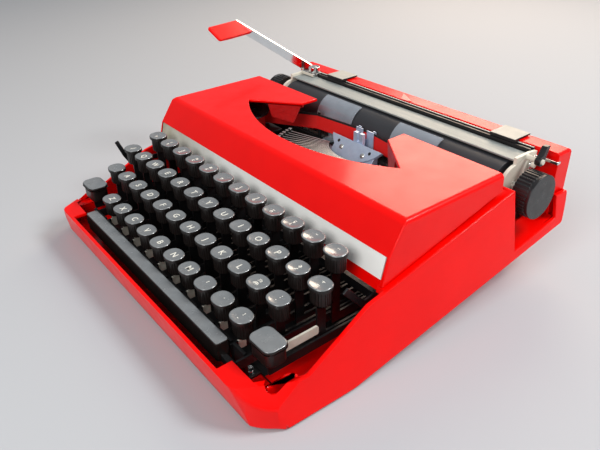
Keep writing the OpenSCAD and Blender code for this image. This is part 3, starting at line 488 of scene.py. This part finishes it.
# The pan's floor is red outside the keyboard; the rest of the pan is black as painted shade, under the
# keyboard and the base's edge
PAN_RED_X, PAN_FLOOR_Z = 105, 4.5


def outward_x(normal, place):
    """True if a normal leans away from the machine's middle, sideways."""
    return normal.x * place.x > 0 and abs(normal.x) > LEANS


def outer_rim(edge):
    """Edges between a top and an outside wall."""
    wall, top = sorted((f.normal for f in edge.link_faces), key=lambda n: n.z)
    c = middle(edge)
    at_end = wall.y * c.y > 0 and abs(wall.y) > LEANS and abs(c.y) > END_Y
    return top.z > FACES and abs(wall.z) < WALL_UP and (outward_x(wall, c) or at_end)


def corner_crease(edge):
    """Edges between the slopes on top of the front corners."""
    c = middle(edge)
    return all(f.normal.z > FACES for f in edge.link_faces) and abs(c.x) > CORNER_X and c.y < CORNER_Y


def lower_rim(edge):
    """Edges between the underside and an outside wall."""
    under, wall = sorted((f.normal for f in edge.link_faces), key=lambda n: n.z)
    c = middle(edge)
    at_end = wall.y * c.y > 0 and abs(c.y) > END_Y
    return under.z < -FACES and wall.z > WALL_DOWN and (outward_x(wall, c) or at_end)


def inside_front_shade(face):
    """The inner faces of the base's front wall, painted black as shade."""
    c = middle(face)
    return FRONT_WALL_Y[0] < c.y < FRONT_WALL_Y[1] and face.normal.y > LEANS and abs(c.x) < FRONT_WALL_X


def skirt(face):
    """The upright faces of the skirts beside the opening."""
    c = middle(face)
    return abs(c.x) < SKIRT_X and c.y > SKIRT_Y and c.z < SKIRT_Z and abs(face.normal.z) < FACES


def front_ridge(edge):
    """Edges along the cover's upper outline and down its front corners."""
    c = middle(edge)
    level = c.z > RIDGE_Z and (abs(c.x) > RIDGE_X or c.y < RIDGE_Y)
    corner = abs(c.x) > RIDGE_CORNER_X and c.y < RIDGE_CORNER_Y and c.z > RIDGE_CORNER_Z
    return level or corner


def red_floor(face):
    """The pan's floor where it shows beside the keyboard."""
    return middle(face).z > PAN_FLOOR_Z and abs(middle(face).x) > PAN_RED_X


def casing():
    """Base, cover, strip, pan, feet and screws."""
    # The base's front wall is black inside, behind the space bar, as painted shade
    softened("base_shell", 0.5, [enamel, satin_black], pick=inside_front_shade, segments=3,
             wide=((corner_crease, CORNER_R), (lower_rim, LOWER_R), (outer_rim, OUTER_R)))
    softened("ribbon_cover", 0.6, [enamel, crackle], pick=skirt, wide=((front_ridge, RIDGE_R),), segments=3)
    softened("trim_strip", 0.25, [strip])
    # The pan is black as painted shade, and red only where its floor shows beside the keyboard
    softened("bottom_pan", 0.4, [satin_black, enamel], pick=red_floor, slices=(-PAN_RED_X, PAN_RED_X))
    softened("rubber_feet", 0.6, [rubber])
    softened("screws", 0.25, [chrome])


# Works under the cover

# The wound ribbon lies between these radii of its spool
WOUND_FROM_R, WOUND_TO_R = 17, 20


def works():
    """Chassis, type basket, spools and the levers beside the keys."""
    softened("chassis_frame", 0.2, [satin_black])
    softened("key_axle", 0.2, [nickel])
    softened("type_segment", 0.25, [blued])
    # Typebars are bright steel on the faces that look up and dark on the others, as painted shade
    softened("typebars", 0.12, [bright, typebar_side_shade], pick=lambda f: f.normal.z < FACES, segments=1)
    softened("ribbon_vibrator", 0.15, [blued])
    softened("card_guides", 0.2, [clear])
    softened("mainspring_drum", 0.3, [nickel])
    for side in ("left", "right"):
        spool(side)
    softened("ribbon_selector", 0.4, [black])
    softened("touch_lever", 0.4, [black])


def spool(side):
    """A ribbon spool, inked where the ribbon is wound."""
    node = "ribbon_spool_" + side
    low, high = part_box(node)
    hub = (Vector(low) + Vector(high)) / 2 / MM

    def wound(face):
        c = middle(face) - hub
        return abs(face.normal.z) < LEANS and WOUND_FROM_R < math.hypot(c.x, c.y) < WOUND_TO_R

    softened(node, 0.25, [black, inked], pick=wound)


# Carriage

# End plates lie beyond the first value, and bare shaft between the knobs within the second
END_PLATE_X, SHAFT_X = 108, 125
# The rail's rear land carries the scale, and a stop's block lies before its tab
SCALE_LAND_Y, STOP_TAB_Y = 111, 113.3


def carriage():
    """Carriage frame, paper table, rail, stops, platen and levers."""
    softened("carriage_frame", 0.25, [nickel, cream_plate], pick=lambda f: abs(middle(f).x) > END_PLATE_X)
    softened("paper_table", 0.3, [aluminium])
    # The rail is black except for its rear land: painted shade of the gap behind the paper table
    softened("margin_rail", 0.2, [satin_black, aluminium],
             pick=lambda f: f.normal.z > FACES and middle(f).y > SCALE_LAND_Y)
    for side in ("left", "right"):
        softened(side + "_margin_stop", 0.35, [cream, satin_black], pick=lambda f: middle(f).y < STOP_TAB_Y)
    softened("platen", 0.4, [rubber])
    softened("platen_knobs", 0.3, [black, nickel], pick=lambda f: abs(middle(f).x) < SHAFT_X)
    softened("return_lever", 0.4, [chrome])
    softened("return_lever_grip", 0.9, [enamel], segments=3)
    softened("paper_release_lever", 0.35, [chrome])
    softened("carriage_lock_lever", 0.5, [black])


# Keys

# Middles of the key tops, the front row first, and the rows of shift lock and backspace
FRONT_ROW_Z, ROW_STEP_Z = 40.0, 9.2
FRONT_ROW_Y, ROW_STEP_Y = -104.0, 17.6
KEY_PITCH, LOCK_ROW, BACKSPACE_ROW = 19.05, 1, 2
# A cap's plan and height, its lip, and the flutes round its barrel
CAP_W, CAP_D, CAP_H, LIP_H, LIP_STEP = 14.5, 12.5, 12.0, 2.5, 1.0
CAP_SIDES, CAP_SQUARENESS, FLUTES, FLUTE_DEPTH = 96, 2.35, 24, 0.3
RIM_R, RIM_SEGMENTS = 0.7, 3
# The dish's depth, and its rings as shares of the cap's top
DISH, DISH_RINGS = 0.7, (1.0, 0.85, 0.65, 0.4, 0.15)
# How far up a normal points on the cap's flat top, and on its grey skin of painted sky reflection
FLAT_TOP, SHEEN_TOP = 0.9, 0.3
# The CAD cap is cut off a hair under its bottom, and its faces are found with these margins
CAP_GAP, CAP_MARGIN, LEVEL_MARGIN, STEM_HALF = 0.05, 0.3, 0.1, 0.75
# A key lever's pale tip lies between these places and under this height
TIP_Y, TIP_TOP_Z = (-108.0, -103.0), 25.0
# Lettering: its sizes, where two signs share a cap, its share of the dish's depth, its rise and its weight
LETTER_SIZE, SIGN_SIZE, SIGN_UP, SIGN_DOWN = 6.0, 4.4, 2.1, 2.3
LEGEND_DEPTH, LEGEND_RISE, LEGEND_WEIGHT, LEGEND_STEPS = 0.9, 0.12, 0.05, 3
# Letters, then the place of each row's first key, its letters and the signs after them
LETTERS = "qwertyuiopasdfghjklzxcvbnm"
ROW_X = (-82.0, -90.7, -95.9, -104.0)
ROW_LETTERS = ("zxcvbnm", "asdfghjkl", "qwertyuiop", "")
SIGNS = ((("?", ","), (".", "."), ("!", "-")), (("½", "@"), (":", ";")), (("$", "£"), ("+", "=")),
         (('"', "2"), ("/", "3"), ("§", "4"), ("%", "5"), ("&", "6"), ("'", "7"), ("(", "8"), (")", "9"),
          ("_", "0"), ("ç", "à"), ("*", "<"), ("^", ">")))
# The space bar ends at these places, and what lies past them is its arms
BAR_REAR_Y, BAR_HALF = -113.7, 92
# Under the first height is a shift key's lever, black as painted shade, and behind the second place its arm
SHIFT_LEVER_Z, SHIFT_CAP_REAR_Y = 27.9, -96.4


def cap_point(angle, w, d):
    """A point of the cap's plan, a circle squared off towards a rectangle."""
    c, s = math.cos(angle), math.sin(angle)
    x = math.copysign(abs(c) ** (2 / CAP_SQUARENESS), c)
    y = math.copysign(abs(s) ** (2 / CAP_SQUARENESS), s)
    return Vector((x * w / 2, y * d / 2, 0)) * MM


def fluted(verts, w, d, step):
    """Draws a ring of points in by a step, and by the flutes of the barrel."""
    for v in verts:
        angle = math.atan2(v.co.y / d, v.co.x / w)
        flute = FLUTE_DEPTH * (0.5 + 0.5 * math.cos(FLUTES * angle))
        shrink = Vector((1 - 2 * (step + flute) / w, 1 - 2 * (step + flute) / d, 1))
        v.co = Vector((v.co.x * shrink.x, v.co.y * shrink.y, v.co.z))


def cap_bmesh(w, d, h):
    """A key cap round the origin, its top at z = 0: a dished top, a lip and a fluted barrel."""
    bm = bmesh.new()
    ring = bmesh.ops.create_circle(bm, cap_ends=True, segments=CAP_SIDES, radius=1.0)["verts"]
    angle_of = {v: math.atan2(v.co.y, v.co.x) for v in ring}
    for v in ring:
        v.co = cap_point(angle_of[v], w, d)
    top = bm.faces[:][0]
    edges = list(top.edges)
    for drop, step in ((LIP_H, 0), (0, LIP_STEP), (h - LIP_H, 0)):
        made = bmesh.ops.extrude_edge_only(bm, edges=edges)["geom"]
        edges = [g for g in made if isinstance(g, bmesh.types.BMEdge) and all(v in made for v in g.verts)]
        verts = [g for g in made if isinstance(g, bmesh.types.BMVert)]
        bmesh.ops.translate(bm, verts=verts, vec=(0, 0, -drop * MM))
        if step:
            fluted(verts, w, d, step)
    closed(bm)
    bmesh.ops.recalc_face_normals(bm, faces=bm.faces)
    bmesh.ops.bevel(bm, geom=list(top.edges), offset=RIM_R * MM, offset_type="OFFSET", segments=RIM_SEGMENTS,
                    profile=0.5, affect="EDGES", material=-1)
    top = max((f for f in bm.faces if f.normal.z > FLAT_TOP), key=lambda f: f.calc_area())
    for before, now in zip(DISH_RINGS, DISH_RINGS[1:]):
        top = bmesh.ops.extrude_discrete_faces(bm, faces=[top])["faces"][0]
        bmesh.ops.scale(bm, verts=top.verts, vec=(now / before, now / before, 1))
        bmesh.ops.translate(bm, verts=top.verts, vec=(0, 0, -DISH * (before ** 2 - now ** 2) * MM))
    bmesh.ops.recalc_face_normals(bm, faces=bm.faces)
    for face in bm.faces:
        # Faces that look up get the grey top, a painted reflection of the sky
        face.material_index = int(face.normal.z > SHEEN_TOP)
    return bm


def stamped(mesh_bm, target, offset):
    """Adds a copy of one bmesh to another, moved by an offset."""
    scratch = bpy.data.meshes.new("stamp")
    mesh_bm.to_mesh(scratch)
    start = len(target.verts)
    target.from_mesh(scratch)
    target.verts.ensure_lookup_table()
    bmesh.ops.translate(target, verts=target.verts[start:], vec=offset)
    bpy.data.meshes.remove(scratch)


def legend_bmesh(target, words, size, at):
    """Adds lettering, flat and raised a hair, centred on a point."""
    curve = bpy.data.curves.new("legend", "FONT")
    curve.body = words
    curve.size = size * MM
    curve.align_x = "CENTER"
    curve.align_y = "CENTER"
    curve.extrude = LEGEND_RISE * MM
    curve.offset = LEGEND_WEIGHT * MM
    curve.resolution_u = LEGEND_STEPS
    holder = bpy.data.objects.new("legend", curve)
    bpy.context.scene.collection.objects.link(holder)
    bpy.context.view_layer.update()
    mesh = holder.evaluated_get(bpy.context.evaluated_depsgraph_get()).to_mesh()
    start = len(target.verts)
    target.from_mesh(mesh)
    target.verts.ensure_lookup_table()
    bmesh.ops.translate(target, verts=target.verts[start:], vec=at)
    bpy.data.objects.remove(holder)
    bpy.data.curves.remove(curve)


def tip(bm):
    """The levers are pale zinc at the lit tip behind the comb; the rest is black as painted shade under the
    caps.
    """
    for y in TIP_Y:
        sliced(bm, mm(0, y, 0), (0, 1, 0))
    for face in bm.faces:
        face.material_index = int(TIP_Y[0] < middle(face).y < TIP_Y[1] and middle(face).z < TIP_TOP_Z)


def lever_below(node, cap_bottom):
    """The lever and stem of a key, cut from its CAD node under the cap."""
    bm = cad_copy(node)
    sliced(bm, mm(0, 0, cap_bottom - CAP_GAP), (0, 0, 1), clear_outer=True)
    closed(bm)
    tip(bm)
    return bm


def row_place(row):
    """The y and z of a row's key tops."""
    return FRONT_ROW_Y + row * ROW_STEP_Y, FRONT_ROW_Z + row * ROW_STEP_Z


def bar_part(face):
    """The space bar's materials: side, top grey as painted sky reflection, and arms."""
    c = middle(face)
    return 2 if c.y > BAR_REAR_Y or abs(c.x) > BAR_HALF else int(face.normal.z > FACES)


def shift_part(face):
    """The shift keys' materials: side, top grey as painted sky reflection, lever black as painted shade, and
    arm.
    """
    c = middle(face)
    if c.z < SHIFT_LEVER_Z:
        return 2
    return 3 if c.y > SHIFT_CAP_REAR_Y else int(face.normal.z > FACES)


def keys():
    """Letter keys, figure and sign keys, shift lock, backspace, space bar and shift keys."""
    cap = cap_bmesh(CAP_W, CAP_D, CAP_H)
    for letter in LETTERS:
        row = next(r for r, letters in enumerate(ROW_LETTERS) if letter in letters)
        y, z = row_place(row)
        x = ROW_X[row] + ROW_LETTERS[row].index(letter) * KEY_PITCH
        one_key("key_" + letter, cap, x, y, z, letter.upper())
    others = []
    for row, signs in enumerate(SIGNS):
        y, z = row_place(row)
        for i, (upper, lower) in enumerate(signs):
            others.append((ROW_X[row] + (len(ROW_LETTERS[row]) + i) * KEY_PITCH, y, z, upper, lower))
    figure_keys(others, cap)
    y, z = row_place(LOCK_ROW)
    one_key("shift_lock", cap, ROW_X[LOCK_ROW] - KEY_PITCH, y, z, "")
    y, z = row_place(BACKSPACE_ROW)
    one_key("backspace_key", cap, ROW_X[BACKSPACE_ROW] - KEY_PITCH, y, z, "/")
    cap.free()
    softened("space_bar", 0.8, [key_black, key_top_sheen, satin_black], pick=bar_part, segments=3)
    softened("shift_keys", 1.2, [key_black, key_top_sheen, satin_black, zinc], pick=shift_part, segments=4)


def one_key(node, cap, x, y, z, letter):
    """The cap, legend and lever of a key node."""
    body = body_of[node]
    lever = piece(node + "_lever", lever_below(node, z - CAP_H), body, [satin_black, zinc])
    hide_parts(node)
    caps, legends = bmesh.new(), bmesh.new()
    add_cap(caps, legends, cap, x, y, z, letter, None)
    piece(node + "_cap", caps, body, [key_black, key_top_sheen])
    if legends.verts:
        piece(node + "_legend", legends, body, [ivory])
    else:
        legends.free()


def add_cap(caps, legends, cap, x, y, z, upper, lower):
    """Adds a cap, and its letter or its two signs."""
    stamped(cap, caps, mm(x, y, z))
    dish_z = z - DISH * LEGEND_DEPTH
    if lower is None:
        if upper:
            legend_bmesh(legends, upper, LETTER_SIZE, mm(x, y, dish_z))
    else:
        legend_bmesh(legends, upper, SIGN_SIZE, mm(x, y + SIGN_UP, dish_z))
        legend_bmesh(legends, lower, SIGN_SIZE, mm(x, y - SIGN_DOWN, dish_z))


def in_cap(c, x, y, z):
    """True for a point of the CAD cap whose top lies at x, y and z, and not for its stem."""
    bottom = z - CAP_H
    across = abs(c.x - x) < CAP_W / 2 + CAP_MARGIN and abs(c.y - y) < CAP_D / 2 + CAP_MARGIN
    beside_stem = abs(c.x - x) > STEM_HALF
    return across and c.z > bottom - LEVEL_MARGIN and (beside_stem or c.z > bottom + LEVEL_MARGIN)


def figure_keys(others, cap):
    """The figure and sign keys: one CAD node, whose caps are replaced one by one."""
    node = "figure_keys"
    bm = cad_copy(node)
    caps, legends = bmesh.new(), bmesh.new()
    for x, y, z, upper, lower in others:
        add_cap(caps, legends, cap, x, y, z, upper, lower)
    drop = []
    for face in bm.faces:
        c = face.calc_center_median() / MM
        if any(in_cap(c, x, y, z) for x, y, z, _, _ in others):
            drop.append(face)
    bmesh.ops.delete(bm, geom=drop, context="FACES")
    closed(bm)
    tip(bm)
    lever = piece(node + "_levers", bm, body_of[node], [satin_black, zinc])
    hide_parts(node)
    piece(node + "_caps", caps, body_of[node], [key_black, key_top_sheen])
    piece(node + "_legends", legends, body_of[node], [ivory])


# Ribbon

RIBBON_Z, RIBBON_H, RIBBON_T, RIBBON_CUTS = 57.0, 13.0, 0.12, 12
# The right half's way from the spool past the post to the middle, and where the vibrator takes hold of it
RIBBON_ROUTE = ((93.0, 41.4), (52.0, 66.1), (7.0, 71.6), (0.0, 71.6))


def ribbon():
    """Each half runs from its spool past a post to the vibrator, which lifts it."""
    for side, sign in (("left", -1), ("right", 1)):
        bm = bmesh.new()
        line = [bm.verts.new(mm(sign * x, y, RIBBON_Z)) for x, y in RIBBON_ROUTE]
        edges = [bm.edges.new(pair) for pair in zip(line, line[1:])]
        bmesh.ops.subdivide_edges(bm, edges=edges, cuts=RIBBON_CUTS)
        band = bmesh.ops.extrude_edge_only(bm, edges=list(bm.edges))
        raised = [v for v in band["geom"] if isinstance(v, bmesh.types.BMVert)]
        bmesh.ops.translate(bm, verts=raised, vec=mm(0, 0, RIBBON_H))
        bmesh.ops.recalc_face_normals(bm, faces=bm.faces)
        mesh = bpy.data.meshes.new("ribbon_" + side)
        bm.to_mesh(mesh)
        bm.free()
        mesh.materials.append(inked)
        obj = bpy.data.objects.new("ribbon_" + side, mesh)
        bpy.context.scene.collection.objects.link(obj)
        wall = obj.modifiers.new("cloth", "SOLIDIFY")
        wall.thickness = RIBBON_T * MM
        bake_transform(obj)
        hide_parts("ribbon")


# Small fittings

# The scale's strokes: the first one's place, their number and pitch, their distance from the rail's rear edge
TICK_FIRST_X, TICKS, TICK_PITCH, TICK_INSET = -98, 84, 2.54, 0.15
TICK_W, TICK_LENGTH, TICK_LONG, TICK_EVERY, TICK_T = 0.6, 0.9, 1.35, 10, 0.06
# How far thin trim lies off the face that carries it
TRIM_LIFT = 0.02
# The pointer's corners and its thickness
POINTER, POINTER_T = ((-12, 124), (-4.7, 113.2), (2.0, 113.2), (4.6, 115)), 0.38
# The segment's face: its top edge, its slope and its thickness over the slope
SEGMENT_TOP_Y, SEGMENT_TOP_Z, SEGMENT_TILT, SEGMENT_PROUD = 63.0, 62.0, math.atan2(12, 9), 2.0
# Screws and holes on that face, across and down from its top edge
SCREW_X, SCREW_Y, SCREW_R, SCREW_DOME = 11.6, -7.6, 2.1, 0.45
HOLE_X, HOLE_Y, HOLE_R, HOLE_LIFT, ROUND_SIDES = 17, -4, 1.3, 0.03, 24


def scale_ticks():
    """White strokes along the rear land of the margin rail, a long one at every tenth."""
    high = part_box("margin_rail")[1]
    rear = high[1] - TICK_INSET * MM
    bm = bmesh.new()
    for i in range(TICKS):
        length = TICK_LENGTH if i % TICK_EVERY else TICK_LONG
        place = ((TICK_FIRST_X + i * TICK_PITCH) * MM, rear - length / 2 * MM, high[2] + TRIM_LIFT * MM)
        made = bmesh.ops.create_cube(bm, size=1.0)["verts"]
        bmesh.ops.scale(bm, verts=made, vec=mm(TICK_W, length, TICK_T))
        bmesh.ops.translate(bm, verts=made, vec=place)
    piece("margin_scale", bm, body_of["margin_rail"], [ivory])


def pointer():
    """Pink pointer on the rear panel, cut off at the panel's front edge, so that the margin stops pass it."""
    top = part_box("base_shell")[1][2]
    lift = Vector((0, 0, top + TRIM_LIFT * MM))
    bm = bmesh.new()
    face = bm.faces.new([bm.verts.new(mm(x, y, 0) + lift) for x, y in POINTER])
    bmesh.ops.recalc_face_normals(bm, faces=[face])
    up = bmesh.ops.extrude_face_region(bm, geom=[face])["geom"]
    raised = [v for v in up if isinstance(v, bmesh.types.BMVert)]
    bmesh.ops.translate(bm, verts=raised, vec=mm(0, 0, POINTER_T))
    bmesh.ops.recalc_face_normals(bm, faces=bm.faces)
    piece("scale_pointer", bm, "machine", [pink])


def segment_fittings():
    """Two domed screws, and two black discs on the segment's face as painted shade in its holes."""
    screws, holes = bmesh.new(), bmesh.new()
    base = Matrix.Translation(mm(0, SEGMENT_TOP_Y, SEGMENT_TOP_Z)) @ Matrix.Rotation(SEGMENT_TILT, 4, "X")
    for side in (-1, 1):
        screw_at = Matrix.Translation(mm(side * SCREW_X, SCREW_Y, SEGMENT_PROUD))
        dome = bmesh.ops.create_uvsphere(screws, u_segments=ROUND_SIDES, v_segments=ROUND_SIDES // 2,
                                         radius=SCREW_R * MM)["verts"]
        bmesh.ops.scale(screws, verts=dome, vec=(1, 1, SCREW_DOME))
        bmesh.ops.transform(screws, verts=dome, matrix=base @ screw_at)
        hole_at = Matrix.Translation(mm(side * HOLE_X, HOLE_Y, SEGMENT_PROUD + HOLE_LIFT))
        disc = bmesh.ops.create_circle(holes, cap_ends=True, segments=ROUND_SIDES,
                                       radius=HOLE_R * MM)["verts"]
        bmesh.ops.transform(holes, verts=disc, matrix=base @ hole_at)
    piece("segment_screws", screws, "type_basket", [nickel])
    # Black discs: painted shade in the segment's holes
    piece("segment_hole_shade", holes, "type_basket", [satin_black])


casing()
works()
carriage()
keys()
ribbon()
scale_ticks()
pointer()
segment_fittings()


# Floor, light and camera

FLOOR_HALF, SKY_STRENGTH = 4.0, 0.42
# The photograph's viewpoint: the eye's place in millimetres, and the view's axes as unit vectors
EYE = (310.3, -231.2, 249.7)
LOOK = (-0.6788, 0.5177, -0.5208)
RIGHT = (0.6180, 0.7858, -0.0244)
UP = (-0.3966, 0.3384, 0.8533)
FOCAL_PX, FRAME_W, SENSOR_W, NEAREST = 604.6, 600, 36.0, 0.01


def floor():
    """A plain pale floor, which gives the soft shadow under the machine."""
    bm = bmesh.new()
    bmesh.ops.create_grid(bm, x_segments=1, y_segments=1, size=FLOOR_HALF)
    mesh = bpy.data.meshes.new("floor")
    bm.to_mesh(mesh)
    bm.free()
    mat, _, shader, _ = blank("floor pale grey, matt", Roughness=0.85)
    shader.inputs["Base Color"].default_value = linear("#B4B7BA")
    mesh.materials.append(mat)
    obj = bpy.data.objects.new("floor", mesh)
    bpy.context.scene.collection.objects.link(obj)


def lamp(name, place, target, size, watts, tint="#FFFFFF"):
    """A round soft lamp, unseen itself, that points at a target."""
    light = bpy.data.lights.new(name, "AREA")
    light.shape = "DISK"
    light.size = size
    light.energy = watts
    light.color = linear(tint)[:3]
    obj = bpy.data.objects.new(name, light)
    obj.location = place
    obj.rotation_euler = (Vector(target) - Vector(place)).to_track_quat("-Z", "Y").to_euler()
    obj.visible_camera = False
    bpy.context.scene.collection.objects.link(obj)


def lighting():
    """A pale sky, a high lamp behind on the right, a fill in front and a warm sheen on the cover."""
    world = bpy.data.worlds.new("studio")
    world.use_nodes = True
    sky = world.node_tree.nodes["Background"]
    sky.inputs["Color"].default_value = linear("#E6EAF0")
    sky.inputs["Strength"].default_value = SKY_STRENGTH
    bpy.context.scene.world = world
    lamp("key lamp", place=(0.75, 0.75, 1.15), target=(0, 0, 0.04), size=0.5, watts=17)
    lamp("front fill", place=(0.4, -1.1, 0.9), target=(0, 0, 0.04), size=0.9, watts=13)
    lamp("top sheen", place=(-0.5, 0.9, 0.66), target=(0.05, 0, 0.08), size=0.6, watts=7, tint="#FFE4CC")


def camera():
    """A camera at the photograph's viewpoint."""
    data = bpy.data.cameras.new("camera")
    data.sensor_fit = "HORIZONTAL"
    data.sensor_width = SENSOR_W
    data.lens = FOCAL_PX / FRAME_W * data.sensor_width
    data.clip_start = NEAREST
    obj = bpy.data.objects.new("camera", data)
    turn = Matrix((RIGHT, UP, [-c for c in LOOK])).transposed()
    obj.matrix_world = Matrix.Translation(mm(*EYE)) @ turn.to_4x4()
    bpy.context.scene.collection.objects.link(obj)
    bpy.context.scene.camera = obj


floor()
lighting()
camera()
bpy.context.scene.view_settings.view_transform = "Standard"
